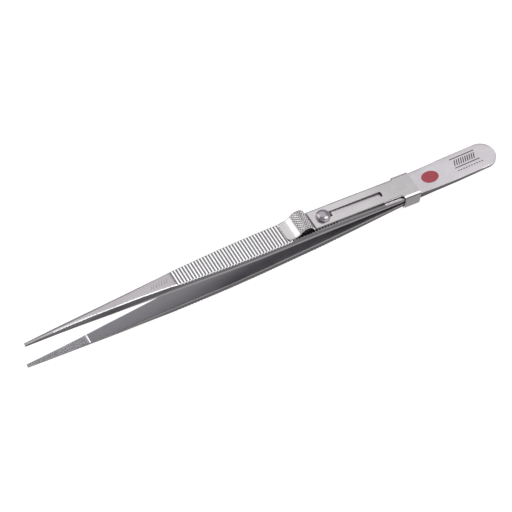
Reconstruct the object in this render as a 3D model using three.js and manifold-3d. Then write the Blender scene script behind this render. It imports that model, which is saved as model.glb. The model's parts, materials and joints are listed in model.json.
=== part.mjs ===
// Precision tweezers with a sliding lock: two sprung steel arms welded together at the heel, and a
// sheet steel slide that rides on the upper arm and pinches both arms shut when it is pushed towards
// the tips.
//
// Units are millimetres, +Z is up, and x runs from the tips to the heel. An arm is drawn lying on its
// flat outer face at z = 0, which is how the lower arm rests on a table. The upper arm is the same arm
// turned half a turn about the line midway between the two.
import * as THREE from "three";
import { mergeVertices } from "three/addons/utils/BufferGeometryUtils.js";
import Module from "manifold-3d";

const wasm = await Module();
wasm.setup();

// ---- driving dimensions ----
const LENGTH = 160.4;
const MID_HEIGHT = 8.42; // of the line midway between the arms, above the table at the tips
const MID_SLOPE = 0.042; // its fall for each millimetre towards the heel
const SPLIT = 133; // where the welded heel ends and the arms start to flex
const SPLIT_GAP = 0.06; // between an arm's heel and its blade
const WELD_GAP = 0.04; // between the two leaves

// Arm: thickness and outline.
const TIP_RISE = 2.5; // the tip's outer face above the flat
const TIP_THICKNESS = 0.41;
const JAW_LENGTH = 46; // of the long curve of the outer face that leads in to the tip
const JAW_KNEE = [16, 0.8]; // where the tangents at the two ends of that curve meet
const BEND_LENGTH = 24; // of the shorter curve of the inner face
const JAW_THICKNESS = 2.15;
const GRIP_END = 95;
const GRIP_THICKNESS = 2.25;
const RAMP_FROM = 97; // where the outer face starts to rise towards the heel
const HEEL_THICKNESS = 1.0;
const HEEL_MIDDLE = 143;
const HEEL_MIDDLE_THICKNESS = 0.72;
const HEEL_END_THICKNESS = 0.42;
const HEEL_RADIUS = 4.7;

// Tables of [distance from the tip, value]. The first is the half width of the inner face. The sides
// stand straight for a share of the thickness next to the inner face, and slope in from there by the
// bevel.
const HALF_WIDTH = [
  ...[[0, 0.62], [16, 1.46], [28, 2.16], [65, 3.88]],
  ...[[76, 4.1], [118, 4.3], [131, 4.3], [144, HEEL_RADIUS]],
];
const STRAIGHT_SHARE = [[24, 0.08], [42, 0.42]];
const BEVEL = [
  ...[[0, 0.4], [4, 0.62], [12, 0.9], [20, 1.08], [34, 1.08]],
  ...[[42, 0.86], [50, 0.48], [118, 0.3], [133, 0.1]],
];

// Serrations across the grip.
const GROOVE_COUNT = 54;
const GROOVE_FROM = 48.03;
const GROOVE_PITCH = 1.0095;
const GROOVE_WIDTH = 0.58;
const GROOVE_FLOOR = 0.22;
const GROOVE_DEPTH = 0.24;

// Lock slide: one strip of sheet, drawn with the underside of its plate on z = 0.
const SHEET = 0.4;
const RUNNING_GAP = 0.05;
const TOUCH_X = 97; // where the plate bears on the arm
const SLIDE_SLOPE = 0.076; // fall of the plate towards the heel, against the line midway between the arms
const PLATE_HALF = 3.25;
const FOOT_FROM = 84.6;
const FOOT_HALF = 3.55;
const FOOT_CORNER = 1.4;
const FOOT_DROP = 0.3; // of the foot below the plate
const ARCH_CENTRE = 91.1;
const ARCH_RADIUS = 2.55; // this and the radii below are to the middle of the sheet
const FRONT_CREASE = 3.2;
const REAR_CREASE = 0.6;
const BAND_FROM = 125.4;
const BAND_TO = 130.8;
const BAND_HALF = 4.38; // inside the band
const BAND_HEIGHT = 4.57; // inside the band
const BAND_TOP_CORNER = 1.2;
const BAND_BOTTOM_CORNER = 0.75;
const BAND_SEAM = 0.25;
const FLARE_RADIUS = 1.3;
const SLOT_FROM = 96.7;
const SLOT_TO = 119.3;
const SLOT_HALF = 1.0;
const SLOT_CORNER = 0.6;

// Guide rivet through the upper arm, and the block that it clamps in the slot.
const RIVET_X = 98.5;
const HEAD_RADIUS = 2.2;
const HEAD_RIM = 0.55;
const HEAD_DOME = 1.0;
const SHANK_RADIUS = 0.6;
const TAIL_RADIUS = 1.1;
const TAIL_DEPTH = 0.55;
const FIT_GAP = 0.04;
const BLOCK_FROM = 96.8;
const BLOCK_TO = 101.3;
const BLOCK_HALF_WIDTH = 0.93;

// ---- worked out from them ----
const MID_ANGLE = Math.atan(MID_SLOPE);
const SLIDE_ANGLE = Math.atan(SLIDE_SLOPE) - MID_ANGLE; // between the plate and the arm's flat
const HEAD_SEAT = SHEET + 3 * RUNNING_GAP; // underside of the rivet's head above the arm
const midHeight = (x) => MID_HEIGHT - MID_SLOPE * x;

// ---- helpers ----
function interpolate(table, x) {
  const last = table.length - 1;
  if (x <= table[0][0]) return table[0][1];
  if (x >= table[last][0]) return table[last][1];
  const i = table.findIndex(([at]) => at > x);
  const [x0, v0] = table[i - 1];
  const [x1, v1] = table[i];
  return v0 + ((v1 - v0) * (x - x0)) / (x1 - x0);
}

function toSolid(geometry) {
  const bare = geometry.clone();
  bare.deleteAttribute("normal");
  bare.deleteAttribute("uv");
  const merged = mergeVertices(bare, 1e-4);
  const mesh = new wasm.Mesh({
    numProp: 3,
    vertProperties: merged.attributes.position.array,
    triVerts: new Uint32Array(merged.index.array),
  });
  return new wasm.Manifold(mesh);
}

function toGeometry(solid) {
  const mesh = solid.getMesh();
  const geometry = new THREE.BufferGeometry();
  geometry.setAttribute("position", new THREE.BufferAttribute(mesh.vertProperties, 3));
  geometry.setIndex(new THREE.BufferAttribute(mesh.triVerts, 1));
  const flat = geometry.toNonIndexed();
  flat.computeVertexNormals();
  return flat;
}

// A closed skin over a row of sections that all have the same number of corners.
function loft(sections) {
  const count = sections[0].length;
  const positions = sections.flat().flatMap((p) => [p.x, p.y, p.z]);
  const index = [];
  for (let s = 0; s + 1 < sections.length; s++) {
    for (let k = 0; k < count; k++) {
      const a = s * count + k;
      const b = s * count + ((k + 1) % count);
      index.push(a, b, a + count, b, b + count, a + count);
    }
  }
  const last = (sections.length - 1) * count;
  for (let k = 1; k + 1 < count; k++) {
    index.push(0, k + 1, k);
    index.push(last, last + k, last + k + 1);
  }
  const geometry = new THREE.BufferGeometry();
  geometry.setAttribute("position", new THREE.Float32BufferAttribute(positions, 3));
  geometry.setIndex(index);
  const flat = geometry.toNonIndexed();
  flat.computeVertexNormals();
  return flat;
}

// The outline of a strip of sheet whose middle follows the given points.
function ribbon(middle, thickness) {
  const points = middle.filter((p, i) => i === 0 || p.distanceTo(middle[i - 1]) > 1e-4);
  const left = [];
  const right = [];
  points.forEach((p, i) => {
    const before = points[Math.max(i - 1, 0)];
    const after = points[Math.min(i + 1, points.length - 1)];
    const along = after.clone().sub(before).normalize();
    const normal = new THREE.Vector2(-along.y, along.x).multiplyScalar(thickness / 2);
    left.push(p.clone().add(normal));
    right.push(p.clone().sub(normal));
  });
  return new THREE.Shape([...left.reverse(), ...right]);
}

// Extrudes an outline drawn in x and z across the width.
function extrudeAcross(shape, halfWidth) {
  const geometry = new THREE.ExtrudeGeometry(shape, { depth: 2 * halfWidth, bevelEnabled: false });
  geometry.rotateX(Math.PI / 2);
  geometry.translate(0, halfWidth, 0);
  return geometry;
}

// Extrudes an outline drawn in x and y from one height to another.
function extrudeUp(shape, from, to) {
  const options = { depth: to - from, bevelEnabled: false, curveSegments: 8 };
  const geometry = new THREE.ExtrudeGeometry(shape, options);
  geometry.translate(0, 0, from);
  return geometry;
}

// ---- arms ----
const outerLine = new THREE.Path()
  .moveTo(0, TIP_RISE)
  .quadraticCurveTo(...JAW_KNEE, JAW_LENGTH, 0)
  .lineTo(RAMP_FROM, 0)
  .lineTo(SPLIT, midHeight(SPLIT) - HEEL_THICKNESS)
  .lineTo(HEEL_MIDDLE, midHeight(HEEL_MIDDLE) - HEEL_MIDDLE_THICKNESS)
  .lineTo(LENGTH, midHeight(LENGTH) - HEEL_END_THICKNESS)
  .getPoints(12)
  .map((p) => [p.x, p.y]);

const innerLine = new THREE.Path()
  .moveTo(0, TIP_RISE + TIP_THICKNESS)
  .quadraticCurveTo(BEND_LENGTH / 2, JAW_THICKNESS, BEND_LENGTH, JAW_THICKNESS)
  .lineTo(GRIP_END, GRIP_THICKNESS)
  .lineTo(SPLIT, midHeight(SPLIT) - WELD_GAP / 2)
  .lineTo(LENGTH, midHeight(LENGTH) - WELD_GAP / 2)
  .getPoints(8)
  .map((p) => [p.x, p.y]);

function halfWidthAt(x) {
  const centre = LENGTH - HEEL_RADIUS;
  if (x <= centre) return interpolate(HALF_WIDTH, x);
  return Math.max(Math.sqrt(Math.max(HEEL_RADIUS ** 2 - (x - centre) ** 2, 0)), 0.3);
}

// Six corners of the arm at a distance from the tip; sink is how far the outer face is cut into.
function armSection(x, sink) {
  const inner = interpolate(innerLine, x);
  const outer = interpolate(outerLine, x);
  const half = halfWidthAt(x);
  const shoulder = inner - interpolate(STRAIGHT_SHARE, x) * (inner - outer);
  const narrow = half - interpolate(BEVEL, x) * (1 - sink / (shoulder - outer));
  return [
    new THREE.Vector3(x, -half, inner),
    new THREE.Vector3(x, -half, shoulder),
    new THREE.Vector3(x, -narrow, outer + sink),
    new THREE.Vector3(x, narrow, outer + sink),
    new THREE.Vector3(x, half, shoulder),
    new THREE.Vector3(x, half, inner),
  ];
}

function grooveMiddles(from, to) {
  const all = Array.from({ length: GROOVE_COUNT }, (_, i) => GROOVE_FROM + i * GROOVE_PITCH);
  return all.filter((x) => x > from && x < to);
}

// Sections are needed at each knot of the lines, at the four corners of each groove and round the heel's end.
function armStations(from, to) {
  const middles = grooveMiddles(from, to);
  const clearOfGrooves = (x) => middles.every((m) => Math.abs(x - m) > GROOVE_WIDTH / 2 + 0.02);
  const round = Array.from({ length: 10 }, (_, i) => Math.sin(((i + 1) / 10) * (Math.PI / 2)));
  const knots = [...HALF_WIDTH, ...STRAIGHT_SHARE, ...BEVEL, ...outerLine, ...innerLine].map(([x]) => x);
  const ends = round.map((share) => LENGTH - HEEL_RADIUS + HEEL_RADIUS * share);
  const inside = (x) => x > from && x < to;
  const plain = [...knots, LENGTH - HEEL_RADIUS, ...ends].filter((x) => inside(x) && clearOfGrooves(x));
  const grooves = middles.flatMap((m) => [
    [m - GROOVE_WIDTH / 2, 0],
    [m - GROOVE_FLOOR / 2, GROOVE_DEPTH],
    [m + GROOVE_FLOOR / 2, GROOVE_DEPTH],
    [m + GROOVE_WIDTH / 2, 0],
  ]);
  const all = [[from, 0], ...plain.map((x) => [x, 0]), ...grooves, [to, 0]].sort((a, b) => a[0] - b[0]);
  return all.filter(([x], i) => i === 0 || x - all[i - 1][0] > 0.02);
}

function armPiece(from, to) {
  return loft(armStations(from, to).map(([x, sink]) => armSection(x, sink)));
}

// ---- guide rivet and block, drawn above the upper arm's outer face ----
const INNER_FACE = -interpolate(innerLine, RIVET_X);

function turned(profile) {
  const geometry = new THREE.LatheGeometry(profile, 28);
  geometry.rotateX(Math.PI / 2);
  geometry.translate(RIVET_X, 0, 0);
  return geometry;
}

// Domed head, straight shank, and a flat tail that fills the countersink in the arm's inner face.
function guideRivet() {
  const tail = INNER_FACE + FIT_GAP;
  const rim = HEAD_SEAT + HEAD_RIM;
  const dome = Array.from({ length: 7 }, (_, i) => ((i + 1) / 7) * (Math.PI / 2));
  const profile = [
    new THREE.Vector2(0, tail),
    new THREE.Vector2(TAIL_RADIUS, tail),
    new THREE.Vector2(SHANK_RADIUS, tail + TAIL_DEPTH),
    new THREE.Vector2(SHANK_RADIUS, HEAD_SEAT),
    new THREE.Vector2(HEAD_RADIUS - 0.1, HEAD_SEAT),
    new THREE.Vector2(HEAD_RADIUS, HEAD_SEAT + 0.1),
    new THREE.Vector2(HEAD_RADIUS, rim),
    ...dome.map((a) => new THREE.Vector2(HEAD_RADIUS * Math.cos(a), rim + HEAD_DOME * Math.sin(a))),
  ];
  profile[profile.length - 1].x = 0;
  return turned(profile);
}

// What has to be cut away for the shank and the tail to pass.
function rivetHole() {
  const profile = [
    new THREE.Vector2(0, INNER_FACE - 1),
    new THREE.Vector2(TAIL_RADIUS + FIT_GAP, INNER_FACE - 1),
    new THREE.Vector2(TAIL_RADIUS + FIT_GAP, INNER_FACE + FIT_GAP),
    new THREE.Vector2(SHANK_RADIUS + FIT_GAP, INNER_FACE + TAIL_DEPTH + 2 * FIT_GAP),
    new THREE.Vector2(SHANK_RADIUS + FIT_GAP, 2),
    new THREE.Vector2(0, 2),
  ];
  return toSolid(turned(profile));
}

function guideBlock() {
  const outline = new THREE.Shape()
    .moveTo(BLOCK_FROM, -BLOCK_HALF_WIDTH)
    .lineTo(BLOCK_TO, -BLOCK_HALF_WIDTH)
    .lineTo(BLOCK_TO, BLOCK_HALF_WIDTH)
    .lineTo(BLOCK_FROM, BLOCK_HALF_WIDTH)
    .closePath();
  return toGeometry(toSolid(extrudeUp(outline, FIT_GAP, HEAD_SEAT - FIT_GAP)).subtract(rivetHole()));
}

// The upper arm's blade is drilled for the rivet. It is cut in the frame of its own outer face.
function drilledBlade() {
  const blade = toSolid(armPiece(0, SPLIT - SPLIT_GAP));
  const hole = toSolid(toGeometry(rivetHole()).rotateX(Math.PI));
  return toGeometry(blade.subtract(hole));
}

// ---- lock slide ----
// Where a crease of the given radius, lying that far below the plate, runs smoothly into the arch: the
// crease's distance from the arch's centre, and the angle at which the two meet.
function creaseAt(radius, drop) {
  const apart = ARCH_RADIUS + radius;
  const below = radius - drop;
  return { reach: Math.sqrt(apart ** 2 - below ** 2), lean: Math.asin(below / apart) };
}

const FRONT = creaseAt(FRONT_CREASE, FOOT_DROP);
const REAR = creaseAt(REAR_CREASE, 0);

// The strip seen from the side: flat foot, thumb arch and plate.
function stripSide() {
  const level = SHEET / 2;
  const footLevel = level - FOOT_DROP;
  const front = ARCH_CENTRE - FRONT.reach;
  const back = ARCH_CENTRE + REAR.reach;
  const quarter = Math.PI / 2;
  const middle = new THREE.Path()
    .moveTo(FOOT_FROM, footLevel)
    .lineTo(front, footLevel)
    .absarc(front, footLevel + FRONT_CREASE, FRONT_CREASE, -quarter, -FRONT.lean, false)
    .absarc(ARCH_CENTRE, level, ARCH_RADIUS, Math.PI - FRONT.lean, REAR.lean, true)
    .absarc(back, level + REAR_CREASE, REAR_CREASE, Math.PI + REAR.lean, 1.5 * Math.PI, false)
    .lineTo(BAND_FROM + 1, level);
  return ribbon(middle.getPoints(12), SHEET);
}

// The strip seen from above: round-cornered foot and arch, narrower plate, and hollow flares out to the band.
function stripPlan() {
  const flare = BAND_FROM - FLARE_RADIUS;
  const wide = PLATE_HALF + FLARE_RADIUS;
  const toe = FOOT_FROM + FOOT_CORNER;
  const inset = FOOT_HALF - FOOT_CORNER;
  const step = ARCH_CENTRE + ARCH_RADIUS + SHEET;
  return new THREE.Shape()
    .moveTo(FOOT_FROM, -inset)
    .absarc(toe, -inset, FOOT_CORNER, Math.PI, 1.5 * Math.PI, false)
    .lineTo(step, -FOOT_HALF)
    .lineTo(step, -PLATE_HALF)
    .lineTo(flare, -PLATE_HALF)
    .absarc(flare, -wide, FLARE_RADIUS, Math.PI / 2, 0, true)
    .lineTo(BAND_FROM + 1, -wide)
    .lineTo(BAND_FROM + 1, wide)
    .lineTo(BAND_FROM, wide)
    .absarc(flare, wide, FLARE_RADIUS, 0, -Math.PI / 2, true)
    .lineTo(step, PLATE_HALF)
    .lineTo(step, FOOT_HALF)
    .lineTo(toe, FOOT_HALF)
    .absarc(toe, inset, FOOT_CORNER, Math.PI / 2, Math.PI, false)
    .closePath();
}

function slotPlan() {
  const end = SLOT_TO - SLOT_CORNER;
  const side = SLOT_HALF - SLOT_CORNER;
  return new THREE.Shape()
    .moveTo(SLOT_FROM, -SLOT_HALF)
    .lineTo(end, -SLOT_HALF)
    .absarc(end, -side, SLOT_CORNER, -Math.PI / 2, 0, false)
    .absarc(end, side, SLOT_CORNER, 0, Math.PI / 2, false)
    .lineTo(SLOT_FROM, SLOT_HALF)
    .closePath();
}

// The band seen along the arms: a round-cornered loop, open at the seam underneath.
function bandLoop() {
  const half = BAND_HALF + SHEET / 2;
  const top = SHEET / 2;
  const bottom = -BAND_HEIGHT - SHEET / 2;
  const upperInset = half - BAND_TOP_CORNER;
  const lowerInset = half - BAND_BOTTOM_CORNER;
  const upperCentre = top - BAND_TOP_CORNER;
  const lowerCentre = bottom + BAND_BOTTOM_CORNER;
  const middle = new THREE.Path()
    .moveTo(BAND_SEAM / 2, bottom)
    .lineTo(lowerInset, bottom)
    .absarc(lowerInset, lowerCentre, BAND_BOTTOM_CORNER, -Math.PI / 2, 0, false)
    .absarc(upperInset, upperCentre, BAND_TOP_CORNER, 0, Math.PI / 2, false)
    .absarc(-upperInset, upperCentre, BAND_TOP_CORNER, Math.PI / 2, Math.PI, false)
    .absarc(-lowerInset, lowerCentre, BAND_BOTTOM_CORNER, Math.PI, 1.5 * Math.PI, false)
    .lineTo(-BAND_SEAM / 2, bottom);
  return ribbon(middle.getPoints(8), SHEET);
}

function band() {
  const depth = BAND_TO - BAND_FROM;
  const geometry = new THREE.ExtrudeGeometry(bandLoop(), { depth, bevelEnabled: false });
  // Drawn in x and y and extruded along z, then turned to stand across the arms.
  geometry.rotateX(Math.PI / 2);
  geometry.rotateZ(Math.PI / 2);
  geometry.translate(BAND_FROM, 0, 0);
  return toSolid(geometry);
}

function lockSlide() {
  const plan = toSolid(extrudeUp(stripPlan(), -1, 6));
  const slot = toSolid(extrudeUp(slotPlan(), -1, 2));
  const strip = toSolid(extrudeAcross(stripSide(), BAND_HALF - BAND_TOP_CORNER + SHEET / 2 + 0.3));
  const slide = toGeometry(strip.intersect(plan).subtract(slot).add(band()));
  slide.translate(-TOUCH_X, 0, 0);
  return slide;
}

// ---- assembly ----
const steel = (color, roughness) => new THREE.MeshStandardMaterial({ color, roughness, metalness: 1 });

function named(name, geometry, material) {
  const mesh = new THREE.Mesh(geometry, material);
  mesh.name = name;
  return mesh;
}

const lowerArm = new THREE.Group();
lowerArm.add(named("lower_arm_blade", armPiece(0, SPLIT - SPLIT_GAP), steel("#8f8f90", 0.36)));
lowerArm.add(named("lower_arm_heel", armPiece(SPLIT, LENGTH), steel("#b9b8b5", 0.34)));

const midLine = new THREE.Vector3(Math.cos(MID_ANGLE), 0, -Math.sin(MID_ANGLE));
const midStart = new THREE.Vector3(0, 0, MID_HEIGHT);

const upperArm = new THREE.Group();
upperArm.quaternion.setFromAxisAngle(midLine, Math.PI);
upperArm.position.copy(midStart).sub(midStart.clone().applyQuaternion(upperArm.quaternion));
upperArm.add(named("upper_arm_blade", drilledBlade(), steel("#c4c3c0", 0.3)));
upperArm.add(named("upper_arm_heel", armPiece(SPLIT, LENGTH), steel("#c9c8c5", 0.34)));

// Everything on top of the upper arm is drawn above its outer face, so this group turns it back over.
const onUpperFace = new THREE.Group();
onUpperFace.rotation.x = Math.PI;
onUpperFace.add(named("guide_rivet", guideRivet(), steel("#8c8790", 0.22)));
onUpperFace.add(named("guide_block", guideBlock(), steel("#9c9b9a", 0.35)));

const slide = named("lock_slide", lockSlide(), steel("#cfcecb", 0.28));
slide.position.set(TOUCH_X, 0, RUNNING_GAP);
slide.rotation.y = SLIDE_ANGLE;
onUpperFace.add(slide);
upperArm.add(onUpperFace);

const tweezers = new THREE.Group();
tweezers.add(lowerArm, upperArm);
// The origin is under the middle of the whole tool, on the table.
const box = new THREE.Box3().setFromObject(tweezers);
tweezers.position.set(-(box.min.x + box.max.x) / 2, 0, -box.min.z);

export default tweezers;
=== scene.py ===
"""Precision tweezers with a slide lock, made over the CAD frame.

Pieces are drawn in millimetres in the frame of an arm (x from the tip, the outer face on z = 0, the
metal above it), and matrices bring them into the frame's metres.
"""

import json
import math

import bpy
import numpy as np
from mathutils import Matrix, Vector


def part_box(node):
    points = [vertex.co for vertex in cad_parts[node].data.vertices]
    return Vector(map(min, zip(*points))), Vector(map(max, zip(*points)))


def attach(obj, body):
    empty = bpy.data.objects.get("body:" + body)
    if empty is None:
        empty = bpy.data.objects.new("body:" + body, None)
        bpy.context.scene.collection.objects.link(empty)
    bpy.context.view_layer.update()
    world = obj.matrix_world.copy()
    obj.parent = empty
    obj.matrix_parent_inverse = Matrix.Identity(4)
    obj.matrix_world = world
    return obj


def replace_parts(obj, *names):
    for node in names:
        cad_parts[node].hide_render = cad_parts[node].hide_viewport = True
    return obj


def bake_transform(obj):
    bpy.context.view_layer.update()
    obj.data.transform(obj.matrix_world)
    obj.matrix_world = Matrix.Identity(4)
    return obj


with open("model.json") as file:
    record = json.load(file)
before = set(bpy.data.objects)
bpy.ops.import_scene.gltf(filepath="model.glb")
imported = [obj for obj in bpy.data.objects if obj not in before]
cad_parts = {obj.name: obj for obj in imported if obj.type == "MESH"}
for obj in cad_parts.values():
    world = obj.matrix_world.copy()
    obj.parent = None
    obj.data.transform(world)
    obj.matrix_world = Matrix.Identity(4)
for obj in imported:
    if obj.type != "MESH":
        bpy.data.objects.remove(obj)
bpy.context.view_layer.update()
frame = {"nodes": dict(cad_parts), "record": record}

# ---- where the CAD puts things ----
MM = 0.001
TIP_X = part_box("lower_arm_blade")[0][0]
HEEL_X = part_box("lower_arm_heel")[1][0]
# The band reaches lower than the arms, down to the table. The hinge's z in the record leaves that height out.
ARM_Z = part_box("lower_arm_blade")[0][2]
HINGE = Vector(frame["record"]["behaviour"]["joints"][0]["pos_m"])
LENGTH = (HEEL_X - TIP_X) / MM
SPLIT = (HINGE.x - TIP_X) / MM
HEEL_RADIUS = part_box("lower_arm_heel")[1][1] / MM
MID_SLOPE = 0.042  # fall of the line midway between the arms
MID_HEIGHT = HINGE.z / MM + MID_SLOPE * SPLIT
MID_ANGLE = math.atan(MID_SLOPE)

# ---- arms ----
TIP_RISE = 2.5
TIP_THICKNESS = 0.41
JAW_LENGTH = 46
JAW_KNEE = (16, 0.8)
BEND_LENGTH = 24
JAW_THICKNESS = 2.15
GRIP_END = 95
GRIP_THICKNESS = 2.25
RAMP_FROM = 97
HEEL_MIDDLE = 143
HEEL_HALF_GAUGE = (1.0, 0.72, 0.42)  # outer face to mid line, at the weld, the heel's middle and its end
WELD_EASE = 3
WELD_EASE_REACH = 8
HEEL_FLAT = 0.2  # half width left at the very end of the heel's round
WELD_GAP = 0.04
INNER_ROUND = 0.28
EDGE_ROUND = 0.1
# Round of the outer edge that carries the painted highlight.
HIGHLIGHT_EDGE_ROUND = 0.2
CORNER_RADII = (INNER_ROUND, EDGE_ROUND, HIGHLIGHT_EDGE_ROUND, EDGE_ROUND, EDGE_ROUND, INNER_ROUND)
CORNER_SHARE = 0.4  # at most this share of a side is rounded away at each end
HALF_WIDTH = [
    *((0, 0.62), (16, 1.46), (28, 2.16), (65, 3.88)),
    *((76, 4.1), (118, 4.3), (131, 4.3), (144, HEEL_RADIUS)),
]
STRAIGHT_SHARE = [(24, 0.08), (42, 0.42)]
BEVEL = [
    *((0, 0.4), (4, 0.62), (12, 0.9), (20, 1.08), (34, 1.08)),
    *((42, 0.86), (50, 0.48), (118, 0.3), (133, 0.1)),
]

GROOVE_COUNT = 54
GROOVE_FROM = 48.03
GROOVE_PITCH = 1.0095
GROOVE_WIDTH = 0.6
GROOVE_DEPTH = 0.24
GROOVE_SIDE = [(1, 0), (0.85, 0.08), (0.45, 0.84), (0.22, 1)]  # share of its half width, share of its depth

KNURL_LENGTH = 19.2
KNURL_PITCH = 0.62
KNURL_DEPTH = 0.11
KNURL_STEP = 0.085
KNURL_FADE = 0.15
KNURL_FLOOR = 0.1  # share of a diamond's height that is cut down to the floor
KNURL_FLANK = 0.45  # share that its flanks rise through, up to the flat top
KNURL_TOP_CUT = 0.35  # faces cut less deeply than this count as tops
STOP_LINE = 19.55  # cross groove that ends the knurling
STOP_LINE_HALF = 0.2
PLAIN_TIP = 9  # where the painted edge highlights start
LOWER_BEVEL_SHARE = 0.4  # the lower arm's sides stand more nearly straight

CURVE_STEP = 0.8
REAR_STEP = 1.0
HEEL_STEPS = 22
OUTER_COLUMNS = 8
INNER_COLUMNS = 34

# Places of an arm's faces round its section, counted from the inner edge at +y. The rest are straight sides.
INNER_EDGE_PLACES = (0, 1, 21, 22)
SLOPE_PLACES = (5, 15, 16, 17)
OUTER_EDGE_PLACES = (6, 7)
OUTER_FIRST = 8
OUTER_LAST = 14
INNER_FIRST = 23

# Kinds of an arm's faces, in the order of its steels.
SATIN, LAND, GROOVE, SIDE, INNER, SLOPE, PAINTED_HIGHLIGHT, JAW, KNURL_TOP, INNER_EDGE = range(10)

# ---- lock slide ----
SHEET = 0.4
RUNNING_GAP = 0.05
TOUCH_X = 97
SLIDE_ANGLE = math.atan(0.076) - MID_ANGLE
PLATE_HALF = 3.25
FOOT_FROM = 84.6
FOOT_HALF = 3.55
FOOT_CORNER = 1.4
FOOT_DROP = 0.3
ARCH_CENTRE = 91.1
ARCH_RADIUS = 2.55
FRONT_CREASE = 3.2
REAR_CREASE = 1.2
BAND_FROM = 125.4
BAND_TO = 130.8
BAND_HALF = 4.38
BAND_HEIGHT = 4.57
BAND_TOP_CORNER = 1.2
BAND_BOTTOM_CORNER = 0.75
BAND_SEAM = 0.25
FLARE_RADIUS = 1.3
SLIDE_TRAVEL = frame["record"]["behaviour"]["joints"][2]["range_m"][1] / MM
SLOT_FROM = 96.7
SLOT_TO = 119.3
SLOT_HALF = 1.0
SLOT_CORNER = 0.6
THUMB_PITCH = 0.88
THUMB_DEPTH = 0.14
THUMB_FRONT = 2.75  # reach of the knurl from the arch's crown, along the sheet
THUMB_REAR = 2.2
THUMB_MARGIN = 0.1
THUMB_END_FADE = 0.3
THUMB_SIDE_FADE = 0.2
THUMB_FLOOR = 0.12
THUMB_FLANK = 0.3
THUMB_CUT = 0.4  # faces lower than this share of the knurl's height count as cuts
CREASE_SHADE_FROM = 0.7  # behind the knurl, where the crease's painted shade starts
CREASE_SHADE_RISE = 0.03  # of the sheet above the plate, where the crease's painted shade ends
UNSHADED_TURN = math.radians(40)  # of the band's corner, still as bright as its top; further round, the sheet is painted in shade
ROLLED_EDGE = 0.07
NEGLIGIBLE = 1e-6

# Columns across the blank: wings wrap round the arms, rails lie beside the slot.
WING_COUNT = 40
RAIL_COUNT = 30
SLOT_COUNT = 10
SLOT_COLUMN = WING_COUNT + RAIL_COUNT
COLUMNS = 2 * (SLOT_COLUMN + SLOT_COUNT) + 1

# Kinds of the slide's faces, in the order of its steels.
SHEET_TOP, SHADED_SHEET, CUT_EDGE, SLOT_WALL, SHADED_CUT = range(5)

# ---- guide rivet ----
RIVET_X = 98.5
HEAD_SEAT = 0.55
HEAD_RADIUS = 2.2
HEAD_RIM = 0.55
HEAD_DOME = 1.0
SHANK_RADIUS = 0.6
TAIL_RADIUS = 1.1
TAIL_DEPTH = 0.55
TAIL_RECESS = 0.04
SEAT_ROUND = 0.1
SEAT_ROUND_MIDDLE = 0.03
RIM_ROUND = 0.06
DOME_INSET = 0.04
DOME_FROM_ANGLE = 0.04
BLOCK_EDGE = 0.08

# ---- marks ----
SPOT_X = 136.9
SPOT_HALF_LENGTH = 2.9
SPOT_HALF_WIDTH = 2.2
RULE_FROM = 145.7
RULE_TO = 154.65
RULE_WIDTH = 0.32
FAR_RULE = 2.86
NEAR_RULE = -0.73
ROW_MIDDLE = -2.0
HATCH_PITCH = 0.78
HATCH_MARGIN = 0.75
HATCH_HALF_LENGTH = 0.45
DASH_PITCH = 0.95
DASH_LENGTH = 0.55
JAW_HATCH = np.arange(40.2, 45.4, 0.85)
JAW_HATCH_HALF = 0.75
JAW_HATCH_SLANT = 0.7
JAW_HATCH_WIDTH = 0.14
INLAY_DEPTH = 0.12
INLAY_TOP_SHARE = 0.93
INLAY_EDGE_SHARE = 0.6


def mid_height(x):
    return MID_HEIGHT - MID_SLOPE * x


# Lower arm as drawn; upper arm half a turn about the line between them; slide and rivet above its outer face.
MID_LINE = Vector((math.cos(MID_ANGLE), 0, -math.sin(MID_ANGLE)))
MID_POINT = HINGE + Vector((0, 0, ARM_Z))
HALF_TURN = Matrix.Rotation(math.pi, 4, MID_LINE)
LOWER = Matrix.Translation((TIP_X, 0, ARM_Z)) @ Matrix.Scale(MM, 4)
UPPER = Matrix.Translation(MID_POINT) @ HALF_TURN @ Matrix.Translation(-MID_POINT) @ LOWER
ON_UPPER = UPPER @ Matrix.Rotation(math.pi, 4, "X")
ON_SLIDE = (
    ON_UPPER
    @ Matrix.Translation((TOUCH_X, 0, RUNNING_GAP))
    @ Matrix.Rotation(SLIDE_ANGLE, 4, "Y")
    @ Matrix.Translation((-TOUCH_X, 0, 0))
)


# ---- materials ----
SCRATCHES = (120, 5200, 5200)
PATCHES = (90, 160, 160)


def new_material(name):
    material = bpy.data.materials.new(name)
    material.use_nodes = True
    return material, material.node_tree, material.node_tree.nodes["Principled BSDF"]


def feed(tree, socket, value):
    """Set a socket to a value, or link it to another node's output."""
    if isinstance(value, bpy.types.NodeSocket):
        tree.links.new(value, socket)
    else:
        socket.default_value = value


def add_node(tree, kind, output, inputs, **settings):
    """A new node with the settings and inputs given; returns the output asked for."""
    node = tree.nodes.new("ShaderNode" + kind)
    for name, value in settings.items():
        setattr(node, name, value)
    for name, value in inputs.items():
        feed(tree, node.inputs[name], value)
    return node.outputs[output]


def noise(tree, place, scale, detail, tilt):
    """Noise stretched by three scales, with its axes turned about y by the tilt."""
    turned_place = {"Vector": place, "Rotation": (0, tilt, 0), "Scale": scale}
    vector = add_node(tree, "Mapping", "Vector", turned_place)
    return add_node(tree, "TexNoise", "Fac", {"Vector": vector, "Scale": 1.0, "Detail": detail})


def remap(tree, value, low, high, start=0.3, stop=0.7):
    limits = {"From Min": start, "From Max": stop, "To Min": low, "To Max": high}
    return add_node(tree, "MapRange", "Result", {"Value": value, **limits})


def mix(tree, first, second, factor):
    colours = {"A": first, "B": second, "Factor": factor}
    return add_node(tree, "Mix", "Result", colours, data_type="RGBA")


def shaded(colour, share):
    return [*(min(c * share, 1) for c in colour), 1]


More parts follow.
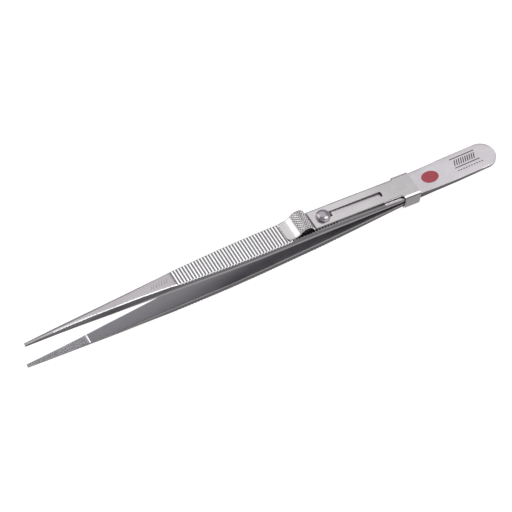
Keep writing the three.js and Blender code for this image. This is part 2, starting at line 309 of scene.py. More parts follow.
def steel(name, colour, roughness, spread=0.08, grain=0.18, tilt=0.0, painted_shade_fade=None):
    """Brushed steel: fine scratches along x and broad patches of polish.

    The last argument paints shade: the colour falls between two values of x to a share of itself.
    """
    material, tree, shader = new_material(name)
    place = add_node(tree, "TexCoord", "Object", {})
    scratches = noise(tree, place, SCRATCHES, 4, tilt)
    patches = remap(tree, noise(tree, place, PATCHES, 3, tilt), 0.0, 0.4)
    wear = add_node(tree, "Math", 0, {0: scratches, 1: 0.6, 2: patches}, operation="MULTIPLY_ADD")
    tint = mix(tree, shaded(colour, 0.86), shaded(colour, 1.08), remap(tree, wear, 0.0, 1.0))
    # Painted shade: the colour darkens along x.
    if painted_shade_fade:
        *where, share = painted_shade_fade
        along = add_node(tree, "SeparateXYZ", "X", {0: place})
        tint = mix(tree, tint, shaded(colour, share), remap(tree, along, 0.0, 1.0, *where))
    bump = {"Strength": grain, "Distance": 0.02 * MM, "Height": scratches}
    feed(tree, shader.inputs["Metallic"], 1.0)
    feed(tree, shader.inputs["Base Color"], tint)
    feed(tree, shader.inputs["Roughness"], remap(tree, wear, roughness - spread, roughness + spread))
    feed(tree, shader.inputs["Normal"], add_node(tree, "Bump", "Normal", bump))
    return material


def enamel(name, colour):
    """Filled and rubbed-down enamel, slightly mottled."""
    material, tree, shader = new_material(name)
    place = add_node(tree, "TexCoord", "Object", {})
    mottle = add_node(tree, "TexNoise", "Fac", {"Vector": place, "Scale": 1400, "Detail": 4})
    feed(tree, shader.inputs["Coat Weight"], 0.25)
    feed(tree, shader.inputs["Base Color"], mix(tree, shaded(colour, 0.75), shaded(colour, 1.2), mottle))
    feed(tree, shader.inputs["Roughness"], remap(tree, mottle, 0.3, 0.5, 0.0, 1.0))
    return material


# ---- mesh helpers ----
def new_object(name, data):
    thing = bpy.data.objects.new(name, data)
    bpy.context.scene.collection.objects.link(thing)
    return thing


def piece(name, points, faces, matrix, materials, kinds=None, sharp=35):
    """A mesh object from points in millimetres, with one material index for each face."""
    mesh = bpy.data.meshes.new(name)
    mesh.from_pydata(np.asarray(points, float).tolist(), [], [list(map(int, f)) for f in faces])
    mesh.transform(matrix)
    for material in materials:
        mesh.materials.append(material)
    if kinds is not None:
        mesh.polygons.foreach_set("material_index", np.asarray(kinds, np.int32))
    mesh.polygons.foreach_set("use_smooth", np.ones(len(mesh.polygons), bool))
    mesh.update()
    mesh.set_sharp_from_angle(angle=math.radians(sharp))
    return new_object(name, mesh)


def triangle_wave(value):
    """1 at whole numbers and 0 midway between them."""
    return np.abs(((value + 0.5) % 1.0) - 0.5) * -2 + 1


def diamond(x, y, pitch):
    """Height from 0 to 1 of a diamond knurl: two sets of slanted ridges crossing."""
    return np.minimum(triangle_wave((x + y) / pitch), triangle_wave((x - y) / pitch))


def loft_faces(rings, count):
    """Quads between rings of count points, and the index of each quad's place round the ring."""
    ring, place = np.meshgrid(np.arange(rings - 1), np.arange(count), indexing="ij")
    a = ring * count + place
    b = ring * count + (place + 1) % count
    quads = np.stack([a, b, b + count, a + count], axis=-1).reshape(-1, 4)
    return quads, place.reshape(-1), ring.reshape(-1)


# ---- arms ----
def outer_line(x):
    """Height of the outer face, with the change of slope at the weld eased over a few millimetres."""
    ends = np.array([SPLIT, HEEL_MIDDLE, LENGTH])
    heights = mid_height(ends) - np.array(HEEL_HALF_GAUGE)
    ease = np.clip((WELD_EASE_REACH - np.abs(x - SPLIT)) / 2, 0, WELD_EASE)
    ramp = [np.interp(x + side * ease, [RAMP_FROM, *ends], [0, *heights]) for side in (-1, 1)]
    knee_x, knee_z = JAW_KNEE
    bow = JAW_LENGTH - 2 * knee_x
    t = (np.sqrt(knee_x**2 + bow * np.minimum(x, JAW_LENGTH)) - knee_x) / bow
    return TIP_RISE * (1 - t) ** 2 + 2 * knee_z * t * (1 - t) + (ramp[0] + ramp[1]) / 2


def inner_line(x):
    bend = (TIP_RISE + TIP_THICKNESS - JAW_THICKNESS) * np.clip(1 - x / BEND_LENGTH, 0, 1) ** 2
    heel = [mid_height(SPLIT) - WELD_GAP / 2, mid_height(LENGTH) - WELD_GAP / 2]
    xs = [BEND_LENGTH, GRIP_END, SPLIT, LENGTH]
    return bend + np.interp(x, xs, [JAW_THICKNESS, GRIP_THICKNESS, *heel])


def half_width(x):
    centre = LENGTH - HEEL_RADIUS
    round_end = np.sqrt(np.maximum(HEEL_RADIUS**2 - np.maximum(x - centre, 0) ** 2, HEEL_FLAT**2))
    return np.minimum(np.interp(x, *zip(*HALF_WIDTH)), round_end)


def arm_stations():
    """Distances from the tip, and how deep the outer face is cut there."""
    middles = GROOVE_FROM + GROOVE_PITCH * np.arange(GROOVE_COUNT)
    half_groove = [(share * GROOVE_WIDTH / 2, depth * GROOVE_DEPTH) for share, depth in GROOVE_SIDE]
    grooves = [(m + side * out, depth) for m in middles for out, depth in half_groove for side in (-1, 1)]
    knurl = np.arange(0, STOP_LINE + 0.6, KNURL_STEP)
    curve = np.arange(STOP_LINE + 0.8, GROOVE_FROM - 1, CURVE_STEP)
    rear = np.arange(middles[-1] + 1, LENGTH - HEEL_RADIUS, REAR_STEP)
    end = LENGTH - HEEL_RADIUS * (1 - np.sin(np.linspace(0, math.pi / 2, HEEL_STEPS)))
    plain = [(x, 0) for x in (*knurl, *curve, *rear, SPLIT, *end)]
    return np.array(sorted(plain + grooves)).T


def round_off(a, b, c, radius):
    """Three points that round the corner b between a and c."""

    def towards(end):
        share = radius / np.linalg.norm(end - b, axis=-1, keepdims=True)
        return b + (end - b) * share.clip(max=CORNER_SHARE)

    before, after = towards(a), towards(c)
    return [before, (before + 2 * b + after) / 4, after]


def between(first, last, count):
    """The lines of points that divide the strip between two lines, without the two themselves."""
    return [first * (1 - share) + last * share for share in np.linspace(0, 1, count)[1:-1]]


def arm_corners(x, sink, bevel_share):
    """Lines along the six corners of the section, from the inner face's +y edge round to its -y edge."""
    half, inner, outer = half_width(x), inner_line(x), outer_line(x)
    shoulder = inner - np.interp(x, *zip(*STRAIGHT_SHARE)) * (inner - outer)
    narrow = half - bevel_share * np.interp(x, *zip(*BEVEL)) * (1 - sink / (shoulder - outer))
    outline = [(half, inner), (half, shoulder), (narrow, outer + sink)]
    outline += [(-narrow, outer + sink), (-half, shoulder), (-half, inner)]
    return [np.stack([x, y, z], axis=-1) for y, z in outline]


def knurl_cut(x, y):
    """Depth from 0 to 1 of the knurling inside the tip and of the cross groove that ends it."""
    fade = np.clip((KNURL_LENGTH - x) / KNURL_FADE, 0, 1)
    diamonds = fade * (1 - np.clip((diamond(x, y, KNURL_PITCH) - KNURL_FLOOR) / KNURL_FLANK, 0, 1))
    stop_line = np.clip(1 - np.abs(x - STOP_LINE) / STOP_LINE_HALF, 0, 1)
    return np.maximum(diamonds, stop_line)


def arm_ring(x, corners):
    """Lines of points along the arm, in order round its section, and the depth of cut on the inner ones."""
    before, after = corners[-1:] + corners[:-1], corners[1:] + corners[:1]
    rounded = [round_off(*lines) for lines in zip(before, corners, after, CORNER_RADII)]
    # Down one side, across the outer face, up the other side, and back across the inner face.
    ring = [*rounded[0], *rounded[1], *rounded[2]]
    ring += between(rounded[2][2], rounded[3][0], OUTER_COLUMNS)
    ring += [*rounded[3], *rounded[4], *rounded[5]]
    cuts = []
    for line in between(rounded[5][2], rounded[0][0], INNER_COLUMNS):
        cuts.append(knurl_cut(x, line[:, 1]))
        line[:, 2] -= KNURL_DEPTH * cuts[-1]
        ring.append(line)
    return ring, cuts


def arm_kinds(x, sink, cuts, place, station, under_slide):
    """The kind of each face, from its place round the section and its distance from the tip."""
    outer_face = (place >= OUTER_FIRST) & (place <= OUTER_LAST)
    outer_edge = np.isin(place, OUTER_EDGE_PLACES)
    inner_face = place >= INNER_FIRST
    at_x = x[station]
    grip_end = GROOVE_FROM + GROOVE_PITCH * (GROOVE_COUNT - 1)
    grip = outer_face & (at_x > GROOVE_FROM - GROOVE_WIDTH) & (at_x < grip_end + GROOVE_WIDTH / 2)
    sunk = np.maximum(sink[station], sink[np.minimum(station + 1, len(x) - 1)]) > GROOVE_DEPTH / 6
    cut = np.stack([np.ones(len(x))] * (INNER_FIRST + 1) + cuts, axis=1)

    # Painted shade: the arm's sides take dark steels, the sloped ones darkest.
    kinds = np.full(len(place), SIDE)
    kinds[outer_face] = SATIN
    kinds[outer_face & (at_x < GROOVE_FROM)] = JAW
    # Painted highlight: the serration lands take a near-white steel.
    kinds[grip] = LAND
    # Painted shade: the serration grooves take a dark steel for the shade in them.
    kinds[grip & sunk] = GROOVE
    # Painted shade: the inner faces take a dark steel for the shade between the arms.
    kinds[inner_face] = INNER
    kinds[np.isin(place, SLOPE_PLACES)] = SLOPE
    # Painted highlight: the rounded inner corners take a steel lighter than the faces beside them.
    kinds[np.isin(place, INNER_EDGE_PLACES)] = INNER_EDGE
    # Painted highlight: the outer edges take a near-white steel for the line of light along them.
    kinds[outer_edge] = PAINTED_HIGHLIGHT
    kinds[outer_edge & (at_x < PLAIN_TIP)] = JAW
    # Painted shade for the slide's shadow: the edges that it always covers take the inner-edge steel instead
    # of the painted highlight, with the sloped steel and the satin on the strips beside them. Behind it the
    # edges take the satin.
    cover_end = BAND_TO - SLIDE_TRAVEL - 1
    covered = under_slide & (at_x > FOOT_FROM + FOOT_CORNER) & (at_x < cover_end)
    kinds[outer_edge & covered] = INNER_EDGE
    kinds[(place == OUTER_FIRST) & covered] = SLOPE
    kinds[(place == OUTER_LAST) & covered] = SATIN
    kinds[outer_edge & (at_x >= cover_end)] = SATIN
    # The knurl's tops take a lighter steel; its cuts keep the painted shade of the inner face.
    kinds[inner_face & (at_x < KNURL_LENGTH) & (cut[station, place] < KNURL_TOP_CUT)] = KNURL_TOP
    # The cross groove at the stop line takes the same painted highlight.
    kinds[inner_face & (np.abs(at_x - STOP_LINE) < STOP_LINE_HALF)] = PAINTED_HIGHLIGHT
    return kinds


def arm(name, matrix, materials, bevel_share=1.0, under_slide=False):
    """One spring leaf: knurled jaw, serrated grip and rounded heel."""
    x, sink = arm_stations()
    ring, cuts = arm_ring(x, arm_corners(x, sink, bevel_share))
    count = len(ring)
    points = np.stack(ring, axis=1).reshape(-1, 3)
    quads, place, station = loft_faces(len(x), count)
    caps = [list(range(count))[::-1], [(len(x) - 1) * count + k for k in range(count)]]
    kinds = arm_kinds(x, sink, cuts, place, station, under_slide)
    return piece(name, points, [*quads, *caps], matrix, materials, [*kinds, SIDE, SIDE], sharp=38)


# ---- lock slide ----
def crease(radius, drop):
    """Where a crease lying that far below the plate runs into the arch: distance from its centre, angle."""
    apart, below = ARCH_RADIUS + radius, radius - drop
    return math.sqrt(apart**2 - below**2), math.asin(below / apart)


def strip_rows():
    """The middle of the sheet along the slide: x, z and the direction of the normal."""
    quarter = math.pi / 2
    level = SHEET / 2
    foot = level - FOOT_DROP
    front_reach, front_lean = crease(FRONT_CREASE, FOOT_DROP)
    rear_reach, rear_lean = crease(REAR_CREASE, 0)
    front, back = ARCH_CENTRE - front_reach, ARCH_CENTRE + rear_reach
    rows = []

    def flat(xs, z=level):
        rows.extend((x, z, quarter) for x in xs)

    def bend(centre_x, centre_z, radius, start, stop, steps, outside):
        for angle in np.linspace(start, stop, steps)[1:-1]:
            normal = angle if outside else angle + math.pi
            rows.append((centre_x + radius * math.cos(angle), centre_z + radius * math.sin(angle), normal))

    flat(FOOT_FROM + FOOT_CORNER * (1 - np.cos(np.linspace(0, quarter, 10))), foot)
    flat(np.linspace(FOOT_FROM + FOOT_CORNER, front, 8)[1:], foot)
    bend(front, foot + FRONT_CREASE, FRONT_CREASE, -quarter, -front_lean, 16, False)
    bend(ARCH_CENTRE, level, ARCH_RADIUS, math.pi - front_lean, rear_lean, 84, True)
    bend(back, level + REAR_CREASE, REAR_CREASE, math.pi + rear_lean, 3 * quarter, 12, False)
    flat(np.linspace(back, SLOT_FROM, 6))
    end = SLOT_TO - SLOT_CORNER
    flat(np.linspace(SLOT_FROM, end, 40)[1:])
    flat(end + SLOT_CORNER * np.sin(np.linspace(0, quarter, 9))[1:])
    flare = BAND_FROM - FLARE_RADIUS
    flat(np.linspace(SLOT_TO, flare, 8)[1:])
    flat(BAND_FROM - FLARE_RADIUS * np.cos(np.linspace(0, quarter, 10))[1:])
    flat(np.linspace(BAND_FROM, BAND_TO, 12)[1:])
    return np.array(rows)


def strip_half(x):
    """Half width of the blank: rounded foot and arch, narrower plate, and hollow flares to the band."""
    toe = FOOT_FROM + FOOT_CORNER
    flare = BAND_FROM - FLARE_RADIUS
    if x < toe:
        return FOOT_HALF - FOOT_CORNER + math.sqrt(max(FOOT_CORNER**2 - (toe - x) ** 2, 0))
    if x < flare:
        step = ARCH_CENTRE + ARCH_RADIUS
        return float(np.interp(x, [step, step + SHEET], [FOOT_HALF, PLATE_HALF]))
    return PLATE_HALF + FLARE_RADIUS - math.sqrt(max(FLARE_RADIUS**2 - min(x - flare, FLARE_RADIUS) ** 2, 0))


def slot_half(x):
    end = SLOT_TO - SLOT_CORNER
    if x <= end:
        return SLOT_HALF
    return SLOT_HALF - SLOT_CORNER + math.sqrt(max(SLOT_CORNER**2 - min(x - end, SLOT_CORNER) ** 2, 0))


def wrap(t):
    """How far out, how far down and turned how much the sheet is at a distance t from its middle."""
    upper, lower = BAND_TOP_CORNER, BAND_BOTTOM_CORNER
    edge = BAND_HALF + SHEET / 2
    depth = BAND_HEIGHT + SHEET
    s = abs(t) - (edge - upper)
    side = depth - upper - lower
    if s <= 0:
        out, down, turn = abs(t), 0, 0
    elif s <= upper * math.pi / 2:
        turn = s / upper
        out, down = edge - upper + upper * math.sin(turn), upper * (1 - math.cos(turn))
    elif s <= upper * math.pi / 2 + side:
        out, down, turn = edge, upper + s - upper * math.pi / 2, math.pi / 2
    elif s <= (upper + lower) * math.pi / 2 + side:
        turn = math.pi / 2 + (s - side - upper * math.pi / 2) / lower
        out, down = edge - lower + lower * math.sin(turn), depth - lower - lower * math.cos(turn)
    else:
        turn = math.pi
        out, down = edge - lower - (s - side - (upper + lower) * math.pi / 2), depth
    return math.copysign(out, t), down, math.copysign(turn, t)


def loop_half():
    """Half the length of the sheet round the band, up to the seam."""
    corners = BAND_TOP_CORNER + BAND_BOTTOM_CORNER
    straight = 2 * BAND_HALF + BAND_HEIGHT + 2 * SHEET - 2 * corners
    return straight + corners * math.pi / 2 - BAND_SEAM / 2


def columns_across(x):
    """Distances of the columns from the sheet's middle, from one seam to the other."""
    half, slot = strip_half(x), slot_half(x)
    wing = np.linspace(loop_half(), PLATE_HALF + FLARE_RADIUS, WING_COUNT + 1)[:-1]
    rail = np.linspace(half, slot, RAIL_COUNT + 1)[:-1]
    one_side = [*wing, *rail, *np.linspace(slot, 0, SLOT_COUNT + 1)[:-1]]
    return [-t for t in one_side] + [0.0] + one_side[::-1]


def distances_along(rows):
    """Distance of each row from the arch's crown, along the sheet."""
    steps = np.hypot(np.diff(rows[:, 0]), np.diff(rows[:, 1]))
    along = np.concatenate([[0], np.cumsum(steps)])
    return along - along[rows[:, 1].argmax()]


def slide_skins(rows, along):
    """Points on the top and the bottom of the sheet, and the height of the knurling at each."""
    top, bottom, relief = [], [], []
    for (x, z, angle), distance in zip(rows, along):
        up = np.array([math.cos(angle), 0, math.sin(angle)])
        for t in columns_across(x):
            out, down, turn = wrap(t)
            middle = np.array([x, out, z]) - down * up
            normal = math.cos(turn) * up + np.array([0, math.sin(turn), 0])
            relief.append(thumb_knurl(distance, t))
            top.append(middle + normal * (SHEET / 2 + THUMB_DEPTH * relief[-1]))
            bottom.append(middle - normal * SHEET / 2)
    return np.array(top), np.array(bottom), np.array(relief).reshape(len(rows), COLUMNS)


def slide_cells(rows):
    """Which cells of the blank are metal: wings only at the band, and none in the slot."""
    solid = np.zeros((len(rows) - 1, COLUMNS - 1), bool)
    start, stop = rows[:-1, 0], rows[1:, 0]
    on_plate = rows[:-1, 1] < SHEET
    in_slot = (start > SLOT_FROM - NEGLIGIBLE) & (stop < SLOT_TO + NEGLIGIBLE) & on_plate
    solid[:, WING_COUNT:-WING_COUNT] = True
    solid[(start > BAND_FROM - NEGLIGIBLE) & on_plate, :] = True
    solid[np.ix_(in_slot, range(SLOT_COLUMN, COLUMNS - 1 - SLOT_COLUMN))] = False
    return solid


def slide_kinds(rows, along, relief):
    """The kind of each cell on the sheet's top."""
    kinds = np.full((len(rows) - 1, COLUMNS - 1), SHEET_TOP)
    # Painted shade in the crease behind the thumb arch.
    in_crease = (along[:-1] > THUMB_REAR + CREASE_SHADE_FROM) & (rows[:-1, 1] > SHEET / 2 + CREASE_SHADE_RISE)
    kinds[in_crease] = SHADED_CUT
    # Painted shade on the band's sides, beyond the turn of its corner.
    turned_down = BAND_HALF + SHEET / 2 - BAND_TOP_CORNER * (1 - UNSHADED_TURN)
    across = np.abs(columns_across(BAND_TO))
    kinds[:, np.minimum(across[:-1], across[1:]) > turned_down] = SHADED_SHEET
    height = (relief[:-1, :-1] + relief[1:, :-1] + relief[:-1, 1:] + relief[1:, 1:]) / 4
    knurled = (along[:-1] > -THUMB_FRONT) & (along[1:] < THUMB_REAR)
    # Painted shade in the cuts of the thumb knurl.
    kinds[(height < THUMB_CUT) & knurled[:, None]] = SHADED_CUT
    return kinds


def lock_slide(materials):
    """The stamped strip, bent up from one blank: rows run along it, columns across it."""
    rows = strip_rows()
    along = distances_along(rows)
    top, bottom, relief = slide_skins(rows, along)
    points, faces, kinds = shell(top, bottom, slide_cells(rows), slide_kinds(rows, along, relief))
    slide = piece("lock_slide_sheet", points, faces, ON_SLIDE, materials, kinds, sharp=50)
    bevel = slide.modifiers.new("rolled edges", "BEVEL")
    bevel.width = ROLLED_EDGE * MM
    bevel.segments = 2
    bevel.limit_method = "ANGLE"
    bevel.angle_limit = math.radians(62)
    return slide


def thumb_knurl(along, t):
    """Height from 0 to 1 of the flat-topped diamonds on the thumb arch, fading out all round."""
    end_fade = min(along + THUMB_FRONT, THUMB_REAR - along) / THUMB_END_FADE
    side_fade = (FOOT_HALF - THUMB_MARGIN - abs(t)) / THUMB_SIDE_FADE
    height = (float(diamond(along, t, THUMB_PITCH)) - THUMB_FLOOR) / THUMB_FLANK
    return max(min(end_fade, side_fade, 1.0), 0.0) * min(max(height, 0.0), 1.0)


def shell(top, bottom, solid, kinds):
    """Closed skin of the filled cells of a grid, with the kinds given for the cells of its top."""
    offset = len(top)
    rows, cells = solid.shape
    columns = cells + 1
    faces, face_kinds = [], []

    def filled(r, c):
        return 0 <= r < rows and 0 <= c < cells and solid[r, c]

    def add(face, kind):
        faces.append(face)
        face_kinds.append(kind)

    for r, c in zip(*np.nonzero(solid)):
        a, b = r * columns + c, r * columns + c + 1
        d, e = a + columns, b + columns
        # Walls inside the slot take a dark steel for painted shade; the other cut edges take the plain cut
        # steel.
        inside = SLOT_COLUMN - 2 < c < cells - SLOT_COLUMN + 2 and 0 < r < rows - 1
        edge = SLOT_WALL if inside else CUT_EDGE
        add((a, d, e, b), kinds[r, c])
        # The sheet's underside takes the painted-shade steel too.
        add((a + offset, b + offset, e + offset, d + offset), SHADED_SHEET)
        if not filled(r - 1, c):
            add((a, b, b + offset, a + offset), edge)
        if not filled(r + 1, c):
            add((e, d, d + offset, e + offset), edge)
        if not filled(r, c - 1):
            add((d, a, a + offset, d + offset), edge)
        if not filled(r, c + 1):
            add((b, e, e + offset, b + offset), edge)
    used = np.unique(np.array(faces))
    renumber = np.zeros(2 * offset, int)
    renumber[used] = np.arange(len(used))
    points = np.concatenate([top, bottom])[used]
    return points, renumber[np.array(faces)], face_kinds


# ---- turned parts and marks ----
def turned(name, profile, centre_x, matrix, material, segments=64):
    """A solid of revolution about z through centre_x; the profile starts and ends on the axis."""
    inner = np.array(profile[1:-1])
    angles = np.linspace(0, 2 * math.pi, segments, endpoint=False)
    circle = np.stack([np.cos(angles), np.sin(angles), np.zeros(segments)], axis=-1)
    rings = [circle * r + np.array([centre_x, 0, z]) for r, z in inner]
    points = np.concatenate([*rings, [[centre_x, 0, profile[0][1]], [centre_x, 0, profile[-1][1]]]])
    quads, _, _ = loft_faces(len(inner), segments)
    first, last = len(points) - 2, len(points) - 1
    top = (len(inner) - 1) * segments
    fans = [(first, (k + 1) % segments, k) for k in range(segments)]
    fans += [(last, top + k, top + (k + 1) % segments) for k in range(segments)]
    return piece(name, points, [*quads, *fans], matrix, [material], sharp=30)


def guide_rivet(material):
    """The rivet: a tail widened inside the arm, the shank, and a domed head over the slot."""
    tail = -float(inner_line(RIVET_X)) + TAIL_RECESS
    rim = HEAD_SEAT + HEAD_RIM
    profile = [(0, tail), (TAIL_RADIUS, tail), (SHANK_RADIUS, tail + TAIL_DEPTH), (SHANK_RADIUS, HEAD_SEAT)]
    profile.append((HEAD_RADIUS - SEAT_ROUND, HEAD_SEAT))
    profile.append((HEAD_RADIUS - SEAT_ROUND_MIDDLE, HEAD_SEAT + SEAT_ROUND_MIDDLE))
    profile += [(HEAD_RADIUS, HEAD_SEAT + SEAT_ROUND), (HEAD_RADIUS, rim - RIM_ROUND)]
    for angle in np.linspace(DOME_FROM_ANGLE, math.pi / 2, 16):
        profile.append(((HEAD_RADIUS - DOME_INSET) * math.cos(angle), rim + HEAD_DOME * math.sin(angle)))
    profile[-1] = (0, rim + HEAD_DOME)
    return turned("guide_rivet_domed", profile, RIVET_X, ON_UPPER, material)


def face_height(x):
    """Height of the upper arm's outer face in the frame that stands on it."""
    return -float(outer_line(np.array(x)))


def inlay(name, outlines, proud, material):
    """Flat marks let into the upper arm's outer face: one closed piece for each outline."""
    points, faces = [], []
    for outline in outlines:
        first, count = len(points), len(outline)
        middle = np.mean(outline, axis=0)
        inset = middle + (np.array(outline) - middle) * INLAY_TOP_SHARE
        points += [(x, y, face_height(x) - INLAY_DEPTH) for x, y in outline]
        points += [(x, y, face_height(x) + proud * INLAY_EDGE_SHARE) for x, y in outline]
        points += [(x, y, face_height(x) + proud) for x, y in inset]
        quads, _, _ = loft_faces(3, count)
        faces += (quads + first).tolist()
        faces.append([first + k for k in reversed(range(count))])
        faces.append([first + 2 * count + k for k in range(count)])
    return piece(name, points, faces, ON_UPPER, [material])


def stroke(x0, y0, x1, y1, width):
    """Outline of a straight engraved stroke."""
    length = math.hypot(x1 - x0, y1 - y0)
    dx, dy = (x1 - x0) / length * width / 2, (y1 - y0) / length * width / 2
    return [(x0 + dy, y0 - dx), (x1 + dy, y1 - dx), (x1 - dy, y1 + dx), (x0 - dy, y0 + dx)]


def enamel_spot(material):
    angles = np.linspace(0, 2 * math.pi, 48, endpoint=False)
    oval = [(SPOT_X + SPOT_HALF_LENGTH * math.cos(a), SPOT_HALF_WIDTH * math.sin(a)) for a in angles]
    return inlay("heel_enamel_spot", [oval], 0.06, material)


def heel_pattern(material):
    """A plain engraved border: two rules, slanted hatching between them, and a row of short dashes."""
    marks = [stroke(RULE_FROM, y, RULE_TO, y, RULE_WIDTH) for y in (FAR_RULE, NEAR_RULE)]
    low, high = NEAR_RULE + HATCH_MARGIN, FAR_RULE - HATCH_MARGIN
    for x in np.arange(RULE_FROM + 0.9, RULE_TO - 0.8, HATCH_PITCH):
        marks.append(stroke(x - HATCH_HALF_LENGTH, low, x + HATCH_HALF_LENGTH, high, RULE_WIDTH))
    for x in np.arange(RULE_FROM + 0.3, RULE_TO, DASH_PITCH):
        marks.append(stroke(x, ROW_MIDDLE, x + DASH_LENGTH, ROW_MIDDLE, RULE_WIDTH))
    return inlay("heel_engraved_border", marks, 0.02, material)


def jaw_hatch(material):
    """A few faint slanted strokes in front of the serrations."""
    half, slant = JAW_HATCH_HALF, JAW_HATCH_SLANT
    marks = [stroke(x, -half, x + slant, half, JAW_HATCH_WIDTH) for x in JAW_HATCH]
    return inlay("jaw_engraved_hatch", marks, 0.015, material)


# ---- build ----
def arm_steels(side, tilt, shade):
    """Steels of an arm, in the order of the kinds of its faces; the sides carry painted shade, darker still
    behind the band.
    """
    painted_shade_fade = (TIP_X + BAND_FROM * MM, TIP_X + BAND_TO * MM, 0.5)
    # Painted shade: the sides and slopes are darker steels, scaled down further by shade.
    sides = [shade * c for c in (0.26, 0.25, 0.257)]
    slopes = [shade * c for c in (0.15, 0.142, 0.15)]
    return [
        steel(side + "_outer_satin", (0.66, 0.625, 0.65), 0.34, tilt=tilt),
        # Painted highlight on the serration lands.
        steel(side + "_serration_lands", (0.97, 0.95, 0.95), 0.28, tilt=tilt),
        # Painted shade in the serration grooves.
        steel(side + "_serration_grooves", (0.22, 0.21, 0.22), 0.42, tilt=tilt),
        steel(side + "_straight_sides", sides, 0.38, tilt=tilt, painted_shade_fade=painted_shade_fade),
        # Painted shade on the inner faces.
        steel(side + "_inner_satin", (0.235, 0.222, 0.243), 0.45, tilt=tilt),
        steel(side + "_sloped_sides", slopes, 0.38, tilt=tilt, painted_shade_fade=painted_shade_fade),
        # Painted highlight on the outer edges and the stop line.
        steel(side + "_painted_highlight_edge", (0.95, 0.93, 0.93), 0.25, tilt=tilt),
        steel(side + "_jaw_satin", (0.48, 0.455, 0.465), 0.36, tilt=tilt),
        steel(side + "_knurl_tops", (0.62, 0.6, 0.62), 0.4, tilt=tilt),
        # Painted highlight on the inner corners, also used for painted shade under the slide.
        steel(side + "_inner_edges", (0.32, 0.3, 0.31), 0.35, tilt=tilt, painted_shade_fade=painted_shade_fade),
    ]


upper_tilt = 2 * MID_ANGLE
upper_steels = arm_steels("upper", upper_tilt, 1.0)
# The lower arm's sides carry deeper painted shade.
lower_steels = arm_steels("lower", 0, 0.35)
upper_arm = arm("upper_arm_leaf", UPPER, upper_steels, under_slide=True)
upper_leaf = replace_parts(upper_arm, "upper_arm_blade", "upper_arm_heel")
lower_arm = arm("lower_arm_leaf", LOWER, lower_steels, LOWER_BEVEL_SHARE)
lower_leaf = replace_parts(lower_arm, "lower_arm_blade", "lower_arm_heel")

# Painted shade: the sheet's top darkens towards the band.
painted_band_shade = (TIP_X + (SLOT_TO - 7) * MM, TIP_X + (SLOT_TO + 3) * MM, 0.83)
slide_steels = [
    steel("slide_sheet_satin", (0.655, 0.63, 0.635), 0.32, tilt=upper_tilt, painted_shade_fade=painted_band_shade),
    # Painted shade on the band's sides and the sheet's underside.
    steel("slide_painted_shade", (0.27, 0.257, 0.262), 0.38, tilt=upper_tilt),
    steel("slide_cut_edges", (0.6, 0.58, 0.58), 0.3, tilt=upper_tilt),
    # Painted shade on the slot's walls.
    steel("slide_slot_walls", (0.12, 0.115, 0.12), 0.45, tilt=upper_tilt),
    # Painted shade in the knurl cuts and the crease.
    steel("slide_knurl_cuts", (0.28, 0.27, 0.275), 0.45, tilt=upper_tilt),
]
slide_sheet = lock_slide(slide_steels)
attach(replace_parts(slide_sheet, "lock_slide"), "lock_slide")

rivet = guide_rivet(steel("rivet_polished", (0.42, 0.385, 0.42), 0.27, spread=0.04, grain=0.05))
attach(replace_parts(rivet, "guide_rivet"), "upper_arm")

# Painted shade: the guide block takes a near-black steel, for the shade at the end of the slot.
block = frame["nodes"]["guide_block"]
block.data.materials.clear()
block.data.materials.append(steel("block_painted_shade", (0.1, 0.097, 0.1), 0.4, tilt=upper_tilt))
softened = block.modifiers.new("softened edges", "BEVEL")
softened.width = BLOCK_EDGE * MM
softened.segments = 2

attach(enamel_spot(enamel("enamel_red", (0.33, 0.028, 0.048))), "heel")
engraved = steel("engraved_dark", (0.1, 0.095, 0.1), 0.5, grain=0.1)
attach(heel_pattern(engraved), "heel")
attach(jaw_hatch(steel("engraved_grey", (0.3, 0.295, 0.3), 0.5, grain=0.1)), "upper_arm")

# Each arm's placement is baked into its mesh.
for leaf, body in ((upper_leaf, "upper_arm"), (lower_leaf, "lower_arm")):
    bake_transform(leaf)

# ---- studio ----
FLOOR_HALF = 1500
FLOOR_GAP = 0.3  # between the floor and the table plane
PAPER = {
    "Base Color": (0.3, 0.3, 0.3, 1),
    "Emission Color": (1, 1, 1, 1),
    "Emission Strength": 0.84,
    "Roughness": 0.9,
    "Specular IOR Level": 0.1,
}
SKY = {"Color": (0.96, 0.97, 1, 1), "Strength": 0.42}


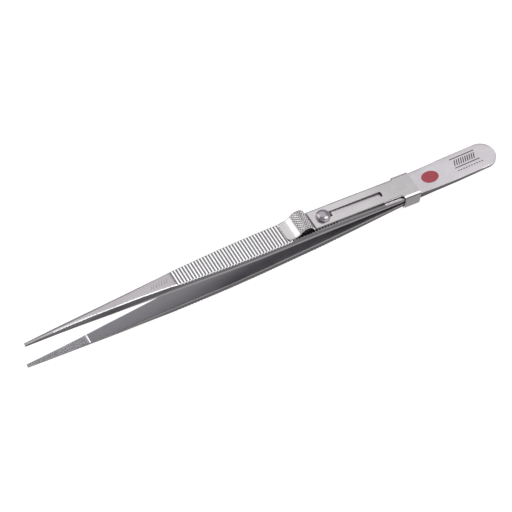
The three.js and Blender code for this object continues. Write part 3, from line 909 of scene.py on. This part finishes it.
def paper_floor():
    """A large sheet of white paper that glows a little, so that it stays white in the shadows."""
    half = FLOOR_HALF * MM
    corners = [(-half, -half, 0), (half, -half, 0), (half, half, 0), (-half, half, 0)]
    mesh = bpy.data.meshes.new("floor")
    mesh.from_pydata(corners, [], [(0, 1, 2, 3)])
    material, tree, shader = new_material("paper")
    for name, value in PAPER.items():
        feed(tree, shader.inputs[name], value)
    mesh.materials.append(material)
    floor = new_object("floor", mesh)
    floor.location.z = -FLOOR_GAP * MM
    return floor


def sky():
    world = bpy.data.worlds.new("studio")
    world.use_nodes = True
    for name, value in SKY.items():
        feed(world.node_tree, world.node_tree.nodes["Background"].inputs[name], value)
    return world


def softbox(name, direction, distance, size, brightness):
    """A round light facing the object; brightness is its radiance as the steel mirrors it."""
    light = bpy.data.lights.new(name, "AREA")
    light.shape = "DISK"
    light.size = size
    light.energy = brightness * math.pi * math.pi * (size / 2) ** 2
    lamp = new_object(name, light)
    lamp.location = Vector(direction).normalized() * distance
    lamp.rotation_euler = (-lamp.location).to_track_quat("-Z", "Y").to_euler()


floor = paper_floor()
bpy.context.scene.world = sky()
bpy.context.scene.view_settings.view_transform = "Standard"
softbox("overhead", (0.2, 0.45, 0.87), 1.2, 1.3, 0.72)
softbox("left", (-0.62, 0.5, 0.6), 1.1, 1.2, 1.5)
softbox("right", (0.5, -0.45, 0.74), 1.1, 0.85, 3.0)

# ---- camera ----
AZIMUTH = math.radians(-27.65)
ELEVATION = math.radians(55.67)
ROLL = math.radians(-1.62)
DISTANCE = 600 * MM
TARGET = Vector((-4.18, 0.37, 4.15)) * MM
LENS = 140.84
SENSOR = 36


def studio_camera():
    data = bpy.data.cameras.new("camera")
    data.lens = LENS
    data.sensor_width = SENSOR
    data.clip_start = 10 * MM
    back = Vector((math.sin(AZIMUTH), -math.cos(AZIMUTH), math.tan(ELEVATION))).normalized()
    level = Vector((math.cos(AZIMUTH), math.sin(AZIMUTH), 0))
    right = Matrix.Rotation(ROLL, 3, back) @ level
    turn = Matrix((right, back.cross(right), back)).transposed().to_4x4()
    camera = new_object("camera", data)
    camera.matrix_world = Matrix.Translation(TARGET + DISTANCE * back) @ turn
    return camera


bpy.context.scene.camera = studio_camera()
